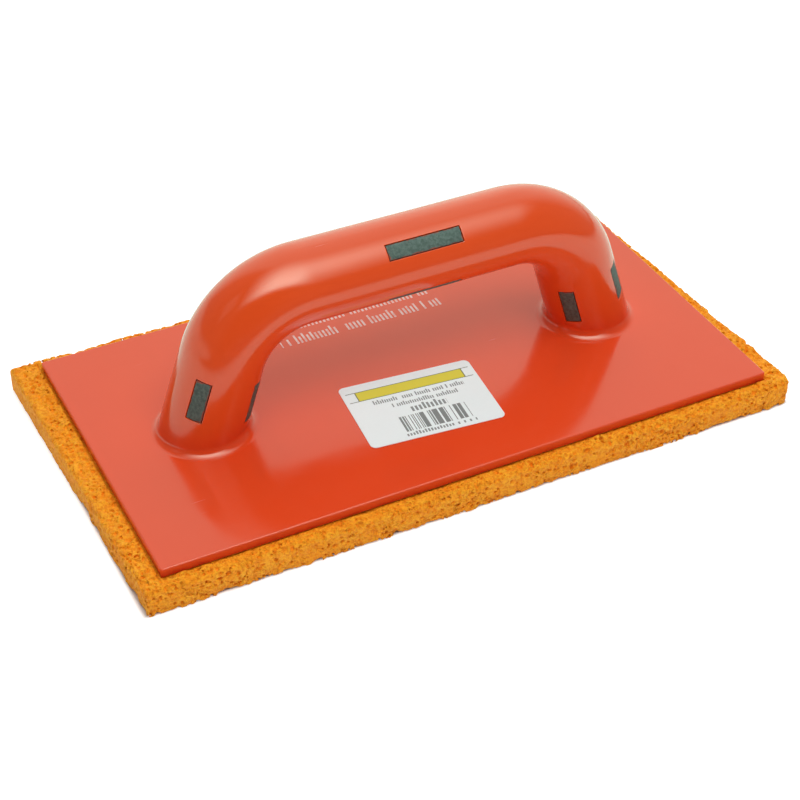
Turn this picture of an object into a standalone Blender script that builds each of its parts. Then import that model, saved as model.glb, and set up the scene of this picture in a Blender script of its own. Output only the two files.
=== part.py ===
"""Sponge grout float: a plastic plate and bow handle in one moulding, over a cored handle, on a glued sponge.

Metres, +Z up. The origin is the centre of the sponge's working face, +X runs along the handle and
-Y is the tool's front. The handle is one swept section: its angle is measured from the outer side
(the top of the grip, the outward side of a leg) round through the front.
"""

import math

import bmesh
import bpy
from mathutils import Vector

MM = 0.001

# Plate
PLATE_LENGTH = 250 * MM
PLATE_WIDTH = 130 * MM
PLATE_THICKNESS = 3.8 * MM
PLATE_CORNER = 1 * MM
PLATE_EDGE_ROUND = 0.5 * MM
PLATE_BOTTOM = 10 * MM
PLATE_TOP = PLATE_BOTTOM + PLATE_THICKNESS

# Handle centreline: a straight grip, two bends and two legs that lean outwards to the plate
GRIP_HEIGHT = 66.8 * MM
GRIP_HALF_LENGTH = 42.3 * MM
BEND_RADIUS = 33.5 * MM
LEG_LEAN = math.radians(18)
LEG_TURN = math.pi / 2 - LEG_LEAN
BEND_END = GRIP_HALF_LENGTH + BEND_RADIUS * LEG_TURN
LEG_TOP_HEIGHT = GRIP_HEIGHT - BEND_RADIUS * (1 - math.cos(LEG_TURN))
LEG_LENGTH = (LEG_TOP_HEIGHT - PLATE_TOP) / math.cos(LEG_LEAN)
HALF_RUN = BEND_END + LEG_LENGTH

# Handle section: half its size in the bow's plane and across it, at the grip and at the feet
GRIP_IN_PLANE = 15.0 * MM
GRIP_ACROSS = 16.0 * MM
FOOT_IN_PLANE = 16.0 * MM
FOOT_ACROSS = 16.3 * MM
FOOT_FILLET = 3.0 * MM
FILLET_END_SHARE = 0.9
FILLET_CLEARANCE = 11 * MM
SKIN = 3.0 * MM
CORE_WALL = 2.5 * MM
FIT_GAP = 0.3 * MM

# Spacer blocks: four round the section at the grip's middle and at each leg
BLOCK_WIDTH = 6.0 * MM
GRIP_BLOCK_LENGTH = 30 * MM
GRIP_BLOCK_SHIFT = 2.5 * MM
LEG_BLOCK_LENGTH = 16 * MM
LEG_BLOCK_HEIGHT = 19.3 * MM
BLOCK_ANGLES = (45, 135, 225, 315)
GRIP_BLOCK_PLACES = ("top_front", "bottom_front", "bottom_rear", "top_rear")
LEG_BLOCK_PLACES = ("outer_front", "inner_front", "inner_rear", "outer_rear")

# Sponge, cut by hand a little out of square, and the film that glues it on
SPONGE_HALF_WIDTH = 71 * MM
SPONGE_LEFT_FRONT = -132.5 * MM
SPONGE_RIGHT_FRONT = 134.5 * MM
SPONGE_RIGHT_REAR = 128 * MM
SPONGE_LEFT_REAR = -136 * MM
FILM_THICKNESS = 0.3 * MM
FILM_INSET = 0.5 * MM
FILM_CORNER = 2 * MM
LAYER_GAP = 0.1 * MM

# Paper label on the plate, in front of the grip
LABEL_LENGTH = 54 * MM
LABEL_WIDTH = 37.8 * MM
LABEL_THICKNESS = 0.15 * MM
LABEL_CORNER = 2.3 * MM
LABEL_CENTRE = Vector((-4 * MM, -22.9 * MM, PLATE_TOP + LAYER_GAP))
LABEL_TURN = math.radians(-5.2)

# Facets, and how far a cutter runs past what it cuts
ROUND_SIDES = 32
BEND_STEPS = 9
LEG_STEPS = 2
FILLET_STEPS = 4
BLOCK_STEPS = 3
CORNER_STEPS = 4
CUTTER_OVERRUN = 2 * MM
SHARP_ANGLE = math.radians(35)
BEVEL_ANGLE = math.radians(60)


def clear_scene():
    for item in list(bpy.data.objects):
        bpy.data.objects.remove(item, do_unlink=True)


def plastic(name, colour, roughness):
    material = bpy.data.materials.new(name)
    material.use_nodes = True
    shader = material.node_tree.nodes["Principled BSDF"]
    shader.inputs["Base Color"].default_value = (*colour, 1)
    shader.inputs["Roughness"].default_value = roughness
    shader.inputs["Metallic"].default_value = 0
    return material


def solid(name, points, faces, material=None):
    """A closed mesh object from points and faces, facing outwards."""
    mesh = bpy.data.meshes.new(name)
    mesh.from_pydata(points, [], faces)
    work = bmesh.new()
    work.from_mesh(mesh)
    bmesh.ops.recalc_face_normals(work, faces=work.faces)
    work.to_mesh(mesh)
    work.free()
    made = bpy.data.objects.new(name, mesh)
    bpy.context.scene.collection.objects.link(made)
    if material:
        mesh.materials.append(material)
    return made


def smooth(made):
    made.data.shade_smooth()
    made.data.set_sharp_from_angle(angle=SHARP_ANGLE)


def as_cutter(made):
    made.hide_render = True
    made.display_type = "WIRE"
    return made


def boolean(made, other, operation):
    modifier = made.modifiers.new(other.name, "BOOLEAN")
    modifier.object = other
    modifier.operation = operation
    modifier.solver = "EXACT"


def extruded(name, outline, bottom, top, material=None):
    """A prism over a closed outline of (x, y) points."""
    count = len(outline)
    points = [(x, y, z) for z in (bottom, top) for x, y in outline]
    sides = [(i, (i + 1) % count, (i + 1) % count + count, i + count) for i in range(count)]
    caps = [tuple(range(count)), tuple(range(count, 2 * count))]
    return solid(name, points, sides + caps, material)


def rounded_outline(length, width, corner, steps):
    """A rectangle's outline about the origin, its corners turned as arcs."""
    outline = []
    for quarter in range(4):
        sign_x = 1 if quarter in (0, 3) else -1
        sign_y = 1 if quarter in (0, 1) else -1
        for step in range(steps + 1):
            angle = math.pi / 2 * (quarter + step / steps)
            x = sign_x * (length / 2 - corner) + corner * math.cos(angle)
            y = sign_y * (width / 2 - corner) + corner * math.sin(angle)
            outline.append((x, y))
    return outline


def centreline(run):
    """The handle's centre and how far it has turned down, at a signed run from the grip's middle."""
    side = 1 if run >= 0 else -1
    run = abs(run)
    turn = min(max(run - GRIP_HALF_LENGTH, 0) / BEND_RADIUS, LEG_TURN)
    leg = max(run - BEND_END, 0)
    x = min(run, GRIP_HALF_LENGTH) + BEND_RADIUS * math.sin(turn) + leg * math.cos(LEG_TURN)
    z = GRIP_HEIGHT - BEND_RADIUS * (1 - math.cos(turn)) - leg * math.sin(LEG_TURN)
    return Vector((side * x, 0, z)), side * turn


def half_sizes(run, depth):
    """The section's half sizes in the bow's plane and across it, less a depth below the skin."""
    share = (abs(run) - GRIP_HALF_LENGTH) / (HALF_RUN - GRIP_HALF_LENGTH)
    share = min(max(share, 0), 1)
    share = share * share * (3 - 2 * share)
    in_plane = GRIP_IN_PLANE + (FOOT_IN_PLANE - GRIP_IN_PLANE) * share
    across = GRIP_ACROSS + (FOOT_ACROSS - GRIP_ACROSS) * share
    return in_plane - depth, across - depth


def skin_point(run, angle, depth):
    """A point at an angle round the section, a depth below the handle's surface."""
    centre, turn = centreline(run)
    in_plane, across = half_sizes(run, depth)
    outward = Vector((math.sin(turn), 0, math.cos(turn)))
    return centre + outward * in_plane * math.cos(angle) - Vector((0, across * math.sin(angle), 0))


def ring_angles():
    return [2 * math.pi * i / ROUND_SIDES for i in range(ROUND_SIDES)]


def level_ring(side, height, depth):
    """Where a leg, carried straight down, crosses a level plane."""
    in_plane, across = half_sizes(HALF_RUN, depth)
    centre, _ = centreline(side * HALF_RUN)
    centre += Vector((side * math.tan(LEG_LEAN), 0, -1)) * (centre.z - height)
    along = side * in_plane / math.cos(LEG_LEAN)
    return [centre + Vector((along * math.cos(a), -across * math.sin(a), 0)) for a in ring_angles()]


def fillet_ring(side, share):
    """One ring of the concave fillet between leg and plate: share 0 is on the leg, 1 on the plate."""
    in_plane, across = half_sizes(HALF_RUN, 0)
    long_half = in_plane / math.cos(LEG_LEAN)
    ring = []
    for angle, foot in zip(ring_angles(), level_ring(side, PLATE_TOP, 0)):
        away = Vector((side * math.cos(angle) / long_half, -math.sin(angle) / across, 0)).normalized()
        corner = math.atan2(math.cos(LEG_LEAN), -side * math.sin(LEG_LEAN) * away.x)
        reach = FOOT_FILLET / math.tan(corner / 2)
        arc = corner + math.pi / 2 + (math.pi - corner) * share
        out = reach + FOOT_FILLET * math.cos(arc)
        up = FOOT_FILLET * (1 + math.sin(arc))
        ring.append(foot + away * out + Vector((0, 0, up)))
    return ring


def bow_rings(leg_run, depth):
    """The bow's rings from the left leg to the right, reaching leg_run down each leg."""
    bend_run = BEND_END - GRIP_HALF_LENGTH
    legs = [BEND_END + leg_run * i / LEG_STEPS for i in range(LEG_STEPS, 0, -1)]
    bends = [GRIP_HALF_LENGTH + bend_run * i / BEND_STEPS for i in range(BEND_STEPS, -1, -1)]
    half = legs + bends
    runs = [-run for run in half] + half[::-1]
    return [[skin_point(run, a, depth) for a in ring_angles()] for run in runs]


def ring_faces(count, sides, closed_loop=False):
    """Faces over a row of rings: capped at both ends, or joined end to end."""
    faces = []
    for i in range(count if closed_loop else count - 1):
        here, there = i * sides, (i + 1) % count * sides
        for j in range(sides):
            k = (j + 1) % sides
            faces.append((here + j, here + k, there + k, there + j))
    if not closed_loop:
        faces.append(tuple(range(sides)))
        faces.append(tuple(range((count - 1) * sides, count * sides)))
    return faces


def skinned(name, rings, material=None, closed_loop=False):
    points = [p for ring in rings for p in ring]
    return solid(name, points, ring_faces(len(rings), len(rings[0]), closed_loop), material)


def foot_rings(side):
    """A foot's fillet rings, from the leg down to the plate, and a last one sunk into the plate."""
    shares = [FILLET_END_SHARE * i / FILLET_STEPS for i in range(FILLET_STEPS + 1)]
    rings = [fillet_ring(side, share) for share in shares]
    middle = (PLATE_TOP + PLATE_BOTTOM) / 2
    rings.append([Vector((p.x, p.y, middle)) for p in rings[-1]])
    return rings


def handle_skin():
    bow = bow_rings(LEG_LENGTH - FILLET_CLEARANCE, 0)
    return as_cutter(skinned("handle_skin", foot_rings(-1)[::-1] + bow + foot_rings(1)))


def handle_bore():
    """What hollows the handle out, through the plate to its underside."""
    ends = [level_ring(side, PLATE_BOTTOM - CUTTER_OVERRUN, SKIN) for side in (-1, 1)]
    rings = [ends[0]] + bow_rings(LEG_LENGTH / 2, SKIN) + [ends[1]]
    return as_cutter(skinned("handle_bore", rings))


def block_runs():
    """Each station's name, block places, and the runs at which its blocks start and end."""
    middle = HALF_RUN - LEG_BLOCK_HEIGHT
    half_leg = LEG_BLOCK_LENGTH / 2
    half_grip = GRIP_BLOCK_LENGTH / 2
    return (
        ("grip", GRIP_BLOCK_PLACES, GRIP_BLOCK_SHIFT - half_grip, GRIP_BLOCK_SHIFT + half_grip),
        ("left", LEG_BLOCK_PLACES, -middle - half_leg, -middle + half_leg),
        ("right", LEG_BLOCK_PLACES, middle - half_leg, middle + half_leg),
    )


def section_patch(start, end, angle, width, top_depth, bottom_depth):
    """Rings of a block cut from the handle's wall, one ring at each end."""
    half = width / 2 / GRIP_ACROSS
    spread = [angle - half + 2 * half * i / BLOCK_STEPS for i in range(BLOCK_STEPS + 1)]
    rings = []
    for run in (start, end):
        top = [skin_point(run, a, top_depth) for a in spread]
        bottom = [skin_point(run, a, bottom_depth) for a in reversed(spread)]
        rings.append(top + bottom)
    return rings


def skin_windows():
    """All the windows in the skin as one cutter, each a little larger than its block."""
    points, faces = [], []
    width = BLOCK_WIDTH + 2 * FIT_GAP
    depths = (-CUTTER_OVERRUN, SKIN + CUTTER_OVERRUN)
    for _, _, start, end in block_runs():
        for angle in BLOCK_ANGLES:
            rings = section_patch(start - FIT_GAP, end + FIT_GAP, math.radians(angle), width, *depths)
            base = len(points)
            points += rings[0] + rings[1]
            faces += [[base + i for i in face] for face in ring_faces(2, len(rings[0]))]
    return as_cutter(solid("skin_windows", points, faces))


def body_moulding(material):
    outline = rounded_outline(PLATE_LENGTH, PLATE_WIDTH, PLATE_CORNER, CORNER_STEPS)
    body = extruded("body_moulding", outline, PLATE_BOTTOM, PLATE_TOP, material)
    edges = body.modifiers.new("edge_round", "BEVEL")
    edges.width = PLATE_EDGE_ROUND
    edges.segments = 2
    edges.limit_method = "ANGLE"
    edges.angle_limit = BEVEL_ANGLE
    boolean(body, handle_skin(), "UNION")
    boolean(body, handle_bore(), "DIFFERENCE")
    boolean(body, skin_windows(), "DIFFERENCE")
    smooth(body)
    return body


def handle_core(material):
    """A hollow bow, open at both feet, level with the plate's underside."""
    end = PLATE_BOTTOM + FIT_GAP
    walls = []
    for depth in (SKIN + FIT_GAP, SKIN + FIT_GAP + CORE_WALL):
        bow = bow_rings(LEG_LENGTH / 2, depth)
        walls.append([level_ring(-1, end, depth)] + bow + [level_ring(1, end, depth)])
    outer, inner = walls
    core = skinned("handle_core", outer + inner[::-1], material, closed_loop=True)
    smooth(core)
    return core


def spacer_blocks(material):
    for station, places, start, end in block_runs():
        for place, angle in zip(places, BLOCK_ANGLES):
            rings = section_patch(start, end, math.radians(angle), BLOCK_WIDTH, 0, SKIN)
            skinned(f"spacer_{station}_{place}", rings, material)


def sponge_pad(material):
    top = PLATE_BOTTOM - FILM_THICKNESS - 2 * LAYER_GAP
    outline = [
        (SPONGE_LEFT_FRONT, -SPONGE_HALF_WIDTH),
        (SPONGE_RIGHT_FRONT, -SPONGE_HALF_WIDTH),
        (SPONGE_RIGHT_REAR, SPONGE_HALF_WIDTH),
        (SPONGE_LEFT_REAR, SPONGE_HALF_WIDTH),
    ]
    return extruded("sponge_pad", outline, 0, top, material)


def adhesive_film(material):
    length = PLATE_LENGTH - 2 * FILM_INSET
    width = PLATE_WIDTH - 2 * FILM_INSET
    outline = rounded_outline(length, width, FILM_CORNER, CORNER_STEPS)
    bottom = PLATE_BOTTOM - LAYER_GAP - FILM_THICKNESS
    return extruded("adhesive_film", outline, bottom, bottom + FILM_THICKNESS, material)


def product_label(material):
    outline = rounded_outline(LABEL_LENGTH, LABEL_WIDTH, LABEL_CORNER, CORNER_STEPS)
    label = extruded("product_label", outline, 0, LABEL_THICKNESS, material)
    label.location = LABEL_CENTRE
    label.rotation_euler = (0, 0, LABEL_TURN)
    return label


def build():
    clear_scene()
    body_moulding(plastic("red_plastic", (0.68, 0.075, 0.03), 0.3))
    handle_core(plastic("core_plastic", (0.05, 0.055, 0.05), 0.6))
    spacer_blocks(plastic("spacer_rubber", (0.06, 0.085, 0.08), 0.85))
    adhesive_film(plastic("adhesive", (0.55, 0.42, 0.2), 0.5))
    sponge_pad(plastic("sponge", (0.85, 0.33, 0.02), 0.95))
    product_label(plastic("label_paper", (0.82, 0.84, 0.84), 0.45))


build()
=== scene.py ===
"""The looks of the sponge grout float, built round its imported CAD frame.

Metres, +Z up. +X runs along the handle and -Y is the tool's front, where the label is. The handle is one
swept section: its run is measured along the bow from the grip's middle, and its angle from the outer side
(the top of the grip, the outward side of a leg) round through the front.
"""

import math

import bmesh
import bpy
import numpy as np
from mathutils import Matrix, Vector, noise
from mathutils.geometry import delaunay_2d_cdt


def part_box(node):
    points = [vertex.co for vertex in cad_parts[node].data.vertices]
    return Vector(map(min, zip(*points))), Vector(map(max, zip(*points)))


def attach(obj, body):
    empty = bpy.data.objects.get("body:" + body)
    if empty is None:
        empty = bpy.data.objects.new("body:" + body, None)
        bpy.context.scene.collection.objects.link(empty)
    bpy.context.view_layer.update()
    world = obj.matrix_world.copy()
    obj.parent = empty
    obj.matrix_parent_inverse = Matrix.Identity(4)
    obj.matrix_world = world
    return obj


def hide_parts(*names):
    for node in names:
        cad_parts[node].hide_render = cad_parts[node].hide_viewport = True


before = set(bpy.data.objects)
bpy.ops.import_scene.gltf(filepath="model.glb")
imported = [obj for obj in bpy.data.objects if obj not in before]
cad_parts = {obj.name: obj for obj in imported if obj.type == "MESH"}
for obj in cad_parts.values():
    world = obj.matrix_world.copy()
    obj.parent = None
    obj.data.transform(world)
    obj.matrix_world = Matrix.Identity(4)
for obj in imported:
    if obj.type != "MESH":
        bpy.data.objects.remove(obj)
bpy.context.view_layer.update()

MM = 0.001
BODY = "root"

body_low, body_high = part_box("body_moulding")
label_low, label_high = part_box("product_label")
film_low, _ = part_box("adhesive_film")
sponge_low, sponge_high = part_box("sponge_pad")
grip_block_low, grip_block_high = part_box("spacer_grip_top_front")

# Plate
PLATE_HALF = (body_high.x, body_high.y)
PLATE_THICKNESS = 3.8 * MM
PLATE_BOTTOM = body_low.z
PLATE_TOP = PLATE_BOTTOM + PLATE_THICKNESS
PLATE_CORNER = 1.0 * MM
PLATE_CORNER_POINTS = 9
PLATE_EDGE_ROUND = 0.5 * MM
PLATE_EDGE_RINGS = 6
RIM_SUPPORT = 0.2 * MM

# Handle centreline: a straight grip, two bends and two legs that lean outwards to the plate
GRIP_IN_PLANE = 15.0 * MM
GRIP_ACROSS = 16.0 * MM
FOOT_IN_PLANE = 16.0 * MM
FOOT_ACROSS = 16.3 * MM
GRIP_HEIGHT = body_high.z - GRIP_IN_PLANE
GRIP_HALF_LENGTH = 42.3 * MM
BEND_RADIUS = 33.5 * MM
LEG_LEAN = math.radians(18)
LEG_TURN = math.pi / 2 - LEG_LEAN
BEND_END = GRIP_HALF_LENGTH + BEND_RADIUS * LEG_TURN
LEG_TOP_HEIGHT = GRIP_HEIGHT - BEND_RADIUS * (1 - math.cos(LEG_TURN))
LEG_LENGTH = (LEG_TOP_HEIGHT - PLATE_TOP) / math.cos(LEG_LEAN)
HALF_RUN = BEND_END + LEG_LENGTH
SKIN = 3.0 * MM
# The longest steps of the handle's mesh along the bow and round it
ALONG_STEP = 1.2 * MM
AROUND_STEP = math.radians(2.5)
# Each foot: its fillet, the leg's end above it, where rings turn level, and two rings outside it
FOOT_FILLET = 3.6 * MM
FILLET_RINGS = 14
LEG_RINGS_END = HALF_RUN - 10.4 * MM
LEG_END_RINGS = 6
FOOT_MARGINS = (0.2 * MM, 1.2 * MM)

# Spacer blocks and the windows they show through
BLOCK_WIDTH = 6.0 * MM
BLOCK_STEP = 0.25 * MM
BLOCK_SINK = 0.08 * MM
BLOCK_WEAR_WIDTH = 0.25 * MM
BLOCK_WEAR_DEPTH = 0.14 * MM
# The size and height of each layer of a block's grain, in millimetres
BLOCK_GRAIN = ((0.55, 0.07), (2.4, 0.06))
FIT_GAP = 0.3 * MM
WINDOW_ROUND = 0.15 * MM
WINDOW_ROUND_STEPS = 3
LEG_BLOCK_LENGTH = 16 * MM
LEG_BLOCK_HEIGHT = 19.3 * MM
BLOCK_ANGLES = [math.radians(a) for a in (45, 135, 225, 315)]
LEG_MIDDLE = HALF_RUN - LEG_BLOCK_HEIGHT
STATIONS = {
    "grip": (grip_block_low.x, grip_block_high.x),
    "left": (-LEG_MIDDLE - LEG_BLOCK_LENGTH / 2, -LEG_MIDDLE + LEG_BLOCK_LENGTH / 2),
    "right": (LEG_MIDDLE - LEG_BLOCK_LENGTH / 2, LEG_MIDDLE + LEG_BLOCK_LENGTH / 2),
}
GRIP_PLACES = ("top_front", "bottom_front", "bottom_rear", "top_rear")
LEG_PLACES = ("outer_front", "inner_front", "inner_rear", "outer_rear")

# Label
LABEL_SIZE = (54 * MM, 37.8 * MM)
LABEL_CORNER = 2.3 * MM
LABEL_TURN = math.radians(-5.2)
LABEL_CENTRE = (label_low + label_high) / 2
LABEL_GAP = 0.02 * MM
LABEL_RIPPLE = 0.02 * MM
LABEL_RIPPLE_WAVES = (9 * MM, 7 * MM)
INK = (0.035, 0.035, 0.035)
# Rows of filler dashes: foot, down the label as a share of it, height in millimetres, left and right ends
# as shares of the label's width, pitch in millimetres, and seed
LABEL_ROWS = (
    (0.370, 2.5, 0.17, 0.87, 0.9, 5),
    (0.470, 2.4, 0.29, 0.80, 0.9, 31),
    (0.600, 4.1, 0.40, 0.68, 1.6, 77),
    (0.950, 2.0, 0.27, 0.80, 1.2, 91),
)

# Pad print on the plate: its middle, its rows as (left, right, foot, seed) and its dashes, in millimetres
PRINT_CENTRE = (-1.4 * MM, 31.6 * MM, PLATE_TOP)
PRINT_TURN = math.radians(-0.8)
PRINT_ROWS = ((-35.3, 35.3, 0, 3), (-34, 35.3, 9.2, 40))
PRINT_DASH = {"height": 6.2, "pitch": 1.7, "fill": 0.5}

# Camera: turned from -Y towards -X, with its lens and sensor in millimetres
CAMERA_AZIMUTH = math.radians(-27.248)
CAMERA_ELEVATION = math.radians(38.301)
CAMERA_ROLL = math.radians(0.679)
CAMERA_DISTANCE = 703.77 * MM
CAMERA_SHIFT = (1.083 * MM, 1.821 * MM)
CAMERA_LENS = 80.47
CAMERA_SENSOR = 36

# Floor: its half size in metres, how far it lies below the sponge, and how brightly it glows
FLOOR_HALF = 3.0
FLOOR_DROP = 0.2 * MM
FLOOR_SEEN_GLOW = 0.65
FLOOR_LIT_GLOW = 0.52

# Key light: its place runs right, away and up from the tool, turned with the camera, in metres. Its shine
# is how bright it looks in reflections, with white paper at about 1.
KEY_PLACE = (0.12, -0.30, 0.95)
KEY_SIZE = (0.8, 0.65)
KEY_POWER = 6.35
KEY_SHINE = 8.2

# The colours of the floor, and of the room's light in reflections
FLOOR_TONES = ((0.86, 0.86, 0.855), (0.88, 0.88, 0.88))
SHINE_TINT = (0.70, 1.05, 0.90)
SHINE_CARD = [0.87 * share for share in SHINE_TINT]


# ---------------------------------------------------------------- meshes


class Surface:
    """Points and faces gathered one patch at a time into a single mesh."""

    def __init__(self):
        self.blocks = []
        self.count = 0
        self.faces = []

    def add(self, points):
        """Adds an array of points and returns their numbers in the same arrangement."""
        points = np.asarray(points, float)
        numbers = self.count + np.arange(points[..., 0].size).reshape(points.shape[:-1])
        self.blocks.append(points.reshape(-1, 3))
        self.count += numbers.size
        return numbers

    def band(self, ring, other):
        """Quads between two closed rings of point numbers."""
        quads = np.stack([ring, np.roll(ring, -1), np.roll(other, -1), other], -1)
        self.faces += quads.reshape(-1, 4).tolist()

    def close_sheets(self, top, bottom):
        """Quads over two grids of point numbers and between their outer edges."""
        for grid in (top, bottom):
            quads = np.stack([grid[:-1, :-1], grid[:-1, 1:], grid[1:, 1:], grid[1:, :-1]], -1)
            self.faces += quads.reshape(-1, 4).tolist()
        rows, columns = perimeter(0, top.shape[0] - 1, 0, top.shape[1] - 1)
        self.band(top[rows, columns], bottom[rows, columns])

    def cap(self, outer, holes=()):
        """Triangles across a flat region between an outer ring and the rings inside it."""
        points = np.concatenate(self.blocks)
        rings = [outer, *holes]
        numbers = np.concatenate(rings)
        flat = [Vector(points[n][:2]) for n in numbers]
        edges, start = [], 0
        for ring in rings:
            size = len(ring)
            edges += [(start + i, start + (i + 1) % size) for i in range(size)]
            start += size
        inside_only, tolerance = 1, 1e-9
        _, _, triangles, sources, _, _ = delaunay_2d_cdt(flat, edges, [], inside_only, tolerance)
        hole_outlines = [points[ring][:, :2] for ring in holes]
        for triangle in triangles:
            corners = [sources[i][0] for i in triangle]
            middle = np.mean([flat[i] for i in corners], 0)
            if not any(inside_outline(middle, outline) for outline in hole_outlines):
                self.faces.append([int(numbers[i]) for i in corners])

    def make(self, name, material):
        """The gathered mesh as an object, its faces turned outwards."""
        return mesh_object(name, np.concatenate(self.blocks), self.faces, material, outwards=True)


def inside_outline(point, outline):
    """Whether a point lies inside a closed outline, by counting the edges to its right."""
    x, y = outline[:, 0], outline[:, 1]
    next_x, next_y = np.roll(x, -1), np.roll(y, -1)
    spans = (y > point[1]) != (next_y > point[1])
    rise = np.where(spans, next_y - y, 1)
    crossing = x + (point[1] - y) / rise * (next_x - x)
    return np.count_nonzero(spans & (crossing > point[0])) % 2 == 1


def mesh_object(name, points, faces, material, outwards=False):
    """A smooth-shaded object; outwards turns the faces of a closed mesh to face out."""
    mesh = bpy.data.meshes.new(name)
    mesh.from_pydata(points, [], faces)
    if outwards:
        work = bmesh.new()
        work.from_mesh(mesh)
        bmesh.ops.recalc_face_normals(work, faces=work.faces)
        work.to_mesh(mesh)
        work.free()
    mesh.shade_smooth()
    mesh.materials.append(material)
    made = bpy.data.objects.new(name, mesh)
    bpy.context.scene.collection.objects.link(made)
    return made


def stand_for(piece, slot, *nodes):
    """Puts a piece on the tool's body in place of CAD nodes."""
    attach(piece, BODY)
    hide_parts(*nodes)


def divided(breaks, gap):
    """Values from the first break to the last, each stretch divided evenly into steps of gap or less."""
    parts = []
    for start, end in zip(breaks, breaks[1:]):
        steps = max(1, math.ceil((end - start) / gap))
        parts.append(np.linspace(start, end, steps, endpoint=False))
    return np.concatenate(parts + [[breaks[-1]]])


# ---------------------------------------------------------------- the handle's shape


def centreline(run):
    """The handle's centre (x, z) and how far it has turned down, at signed runs from the grip's middle."""
    side = np.where(run >= 0, 1.0, -1.0)
    run = np.abs(run)
    turn = np.clip((run - GRIP_HALF_LENGTH) / BEND_RADIUS, 0, LEG_TURN)
    leg = np.maximum(run - BEND_END, 0)
    x = np.minimum(run, GRIP_HALF_LENGTH) + BEND_RADIUS * np.sin(turn) + leg * math.cos(LEG_TURN)
    z = GRIP_HEIGHT - BEND_RADIUS * (1 - np.cos(turn)) - leg * math.sin(LEG_TURN)
    return side * x, z, side * turn


def half_sizes(run, depth):
    """The section's half sizes in the bow's plane and across it, less a depth below the skin."""
    share = np.clip((np.abs(run) - GRIP_HALF_LENGTH) / (HALF_RUN - GRIP_HALF_LENGTH), 0, 1)
    share = share * share * (3 - 2 * share)
    in_plane = GRIP_IN_PLANE + (FOOT_IN_PLANE - GRIP_IN_PLANE) * share
    across = GRIP_ACROSS + (FOOT_ACROSS - GRIP_ACROSS) * share
    return in_plane - depth, across - depth


def skin_points(run, angle, depth):
    """Points a depth below the skin, at runs along the bow and angles round it, broadcast together."""
    run, angle, depth = np.broadcast_arrays(run, angle, depth)
    x, z, turn = centreline(run)
    in_plane, across = half_sizes(run, depth)
    reach = in_plane * np.cos(angle)
    return np.stack([x + reach * np.sin(turn), -across * np.sin(angle), z + reach * np.cos(turn)], -1)


def level_ring(side, height, depth, angles):
    """Where a leg, carried straight down, crosses a level plane."""
    in_plane, across = half_sizes(HALF_RUN, depth)
    x, z, _ = centreline(np.array(side * HALF_RUN))
    x = x + side * math.tan(LEG_LEAN) * (z - height)
    along = side * in_plane / math.cos(LEG_LEAN)
    level = np.full_like(angles, height)
    return np.stack([x + along * np.cos(angles), -across * np.sin(angles), level], -1)


def fillet_ring(side, share, extra, angles):
    """A ring of the concave fillet between leg and plate: share 0 is on the leg, 1 on the plate."""
    in_plane, across = half_sizes(HALF_RUN, 0)
    away_x = side * np.cos(angles) / (in_plane / math.cos(LEG_LEAN))
    away_y = -np.sin(angles) / across
    length = np.hypot(away_x, away_y)
    away_x, away_y = away_x / length, away_y / length
    corner = np.arctan2(math.cos(LEG_LEAN), -side * math.sin(LEG_LEAN) * away_x)
    arc = corner + math.pi / 2 + (math.pi - corner) * share
    out = FOOT_FILLET / np.tan(corner / 2) + FOOT_FILLET * np.cos(arc) + extra
    up = FOOT_FILLET * (1 + np.sin(arc))
    return level_ring(side, PLATE_TOP, 0, angles) + np.stack([away_x * out, away_y * out, up], -1)


# ---------------------------------------------------------------- body moulding


def window_angles():
    """Angles round the section, with lines along the windows' edges and a support line beside each."""
    half = (BLOCK_WIDTH / 2 + FIT_GAP + WINDOW_ROUND) / GRIP_ACROSS
    support = WINDOW_ROUND / GRIP_ACROSS
    breaks = []
    for angle in BLOCK_ANGLES:
        breaks += [angle - half - support, angle - half, angle + half, angle + half + support]
    breaks.append(breaks[0] + 2 * math.pi)
    return divided(breaks, AROUND_STEP)[:-1], half


def window_runs():
    """Runs along the bow, with lines at the windows' ends and where the bow changes."""
    margin = FIT_GAP + WINDOW_ROUND
    breaks = [-LEG_RINGS_END, -BEND_END, -GRIP_HALF_LENGTH, GRIP_HALF_LENGTH, BEND_END, LEG_RINGS_END]
    for start, end in STATIONS.values():
        breaks += [start - margin - WINDOW_ROUND, start - margin, end + margin, end + margin + WINDOW_ROUND]
    return divided(sorted(breaks), ALONG_STEP), margin


def grid_quads(numbers, holes):
    """Quads over a grid that closes round its second direction, less the rectangles in holes."""
    keep = np.ones((numbers.shape[0] - 1, numbers.shape[1]), bool)
    for first_row, last_row, first_column, last_column in holes:
        keep[first_row:last_row, first_column:last_column] = False
    beside = np.roll(numbers, -1, 1)
    quads = np.stack([numbers[:-1], beside[:-1], beside[1:], numbers[1:]], -1)
    return quads[keep].tolist()


def perimeter(first_row, last_row, first_column, last_column):
    """The (row, column) places round a rectangle of a grid."""
    rows = np.arange(first_row, last_row + 1)
    columns = np.arange(first_column, last_column + 1)
    places = [(first_row, c) for c in columns[:-1]] + [(r, last_column) for r in rows[:-1]]
    places += [(last_row, c) for c in columns[:0:-1]] + [(r, first_column) for r in rows[:0:-1]]
    return np.array(places).T


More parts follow.
